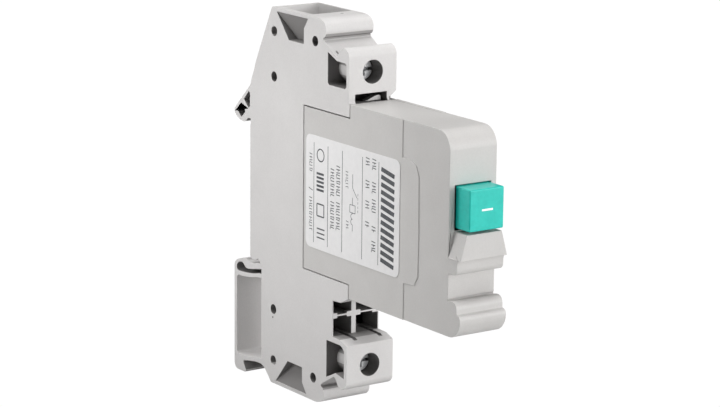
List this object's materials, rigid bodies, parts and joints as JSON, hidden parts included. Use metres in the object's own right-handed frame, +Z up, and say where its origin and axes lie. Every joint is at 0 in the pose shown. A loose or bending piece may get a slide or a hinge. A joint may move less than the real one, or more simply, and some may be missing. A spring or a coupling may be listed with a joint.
{
  "type": "rail-mounted circuit breaker terminal",
  "caption": "Slim rail-mounted terminal base with screw clamps and a sprung rail foot, carrying a thermomagnetic circuit breaker with a push button.",
  "frame": {"origin": "middle of the rail seat: seat plane y = 0, middle of the width x = 0, the rail's centre line z = 0", "axes": "+Z up along the panel, +Y into the rail, -Y towards the operator, X across the width with the label on the -X side"},
  "size_m": [0.0124, 0.0863, 0.0859],
  "materials": {
    "housing_grey": "fine spark-eroded light grey polyamide",
    "breaker_grey": "fine spark-eroded warm grey thermoset",
    "label_film": "satin white film with dark print",
    "button_green": "smooth moulded turquoise green",
    "bright_steel": "zinc plated, bright",
    "dark_steel": "blackened steel sheet",
    "tinned_copper": "tin plated copper sheet",
    "copper": "bare copper",
    "contact_silver": "silver alloy tip",
    "bobbin_plastic": "natural polyamide",
    "bimetal": "rolled strip"
  },
  "bodies": {
    "housing": {"base_shell": "housing_grey", "base_cover": "housing_grey", "upper_busbar": "tinned_copper", "lower_busbar": "tinned_copper", "breaker_case": "breaker_grey", "breaker_cover": "breaker_grey", "rating_label": "label_film", "line_tab": "tinned_copper", "fixed_contact": "contact_silver", "arm_pivot_pin": "bright_steel", "contact_spring": "bright_steel", "latch_pivot_pin": "bright_steel", "latch_spring": "bright_steel", "trip_pivot_pin": "bright_steel", "trip_spring": "bright_steel", "magnet_coil": "copper", "coil_bobbin": "bobbin_plastic", "magnet_yoke": "dark_steel", "plunger_spring": "bright_steel", "load_tab": "tinned_copper", "bimetal_holder": "dark_steel", "bimetal_strip": "bimetal", "setting_screw": "bright_steel", "flexible_braid": "copper", "button_spring": "bright_steel"},
    "foot": {"rail_foot": "housing_grey"},
    "button": {"push_button": "button_green"},
    "arm": {"contact_arm": "copper", "moving_contact": "contact_silver"},
    "latch": {"latch_lever": "dark_steel"},
    "plunger": {"magnet_plunger": "bright_steel"},
    "trip": {"trip_lever": "dark_steel"},
    "upper_sleeve": {"upper_clamp_sleeve": "bright_steel"},
    "upper_screw": {"upper_clamp_screw": "bright_steel"},
    "lower_sleeve": {"lower_clamp_sleeve": "bright_steel"},
    "lower_screw": {"lower_clamp_screw": "bright_steel"}
  },
  "joints": [
    {"name": "foot_snap", "type": "slide", "parent": "housing", "child": "foot", "axis": [0, 0, -1], "range_m": [0, 0.0022], "stiffness_N_per_m": 9000},
    {"name": "button_press", "type": "slide", "parent": "housing", "child": "button", "axis": [0, 1, 0], "range_m": [0, 0.0035], "stiffness_N_per_m": 600, "springref_m": -0.002, "deforming": ["button_spring"]},
    {"name": "arm_swing", "type": "hinge", "parent": "housing", "child": "arm", "pos_m": [0, -0.05, 0.007], "axis": [1, 0, 0], "range_deg": [0, 11.5], "deforming": ["contact_spring"]},
    {"name": "latch_swing", "type": "hinge", "parent": "housing", "child": "latch", "pos_m": [0, -0.059, 0.0012], "axis": [-1, 0, 0], "range_deg": [0, 19], "deforming": ["latch_spring"]},
    {"name": "plunger_stroke", "type": "slide", "parent": "housing", "child": "plunger", "axis": [0, -1, 0], "range_m": [0, 0.0015], "stiffness_N_per_m": 80, "springref_m": -0.001, "deforming": ["plunger_spring"]},
    {"name": "trip_swing", "type": "hinge", "parent": "housing", "child": "trip", "pos_m": [0, -0.0555, 0.0034], "axis": [-1, 0, 0], "range_deg": [0, 13.8], "deforming": ["trip_spring"]},
    {"name": "upper_screw_turn", "type": "hinge", "parent": "housing", "child": "upper_screw", "pos_m": [0, -0.03, 0.0335], "axis": [0, 1, 0], "range_deg": [0, 2058]},
    {"name": "upper_sleeve_slide", "type": "slide", "parent": "housing", "child": "upper_sleeve", "axis": [0, -1, 0], "range_m": [0, 0.004]},
    {"name": "lower_screw_turn", "type": "hinge", "parent": "housing", "child": "lower_screw", "pos_m": [0, -0.03, -0.03102], "axis": [0, 1, 0], "range_deg": [0, 2058]},
    {"name": "lower_sleeve_slide", "type": "slide", "parent": "housing", "child": "lower_sleeve", "axis": [0, -1, 0], "range_m": [0, 0.004]}
  ],
  "couplings": [
    {"joint": "arm_swing", "follows": "button_press", "rad_per_m": 57.143},
    {"joint": "latch_swing", "follows": "button_press", "rad_per_m": 94.286},
    {"joint": "trip_swing", "follows": "plunger_stroke", "rad_per_m": 160},
    {"joint": "upper_screw_turn", "follows": "upper_sleeve_slide", "rad_per_m": 8976},
    {"joint": "lower_screw_turn", "follows": "lower_sleeve_slide", "rad_per_m": 8976}
  ]
}
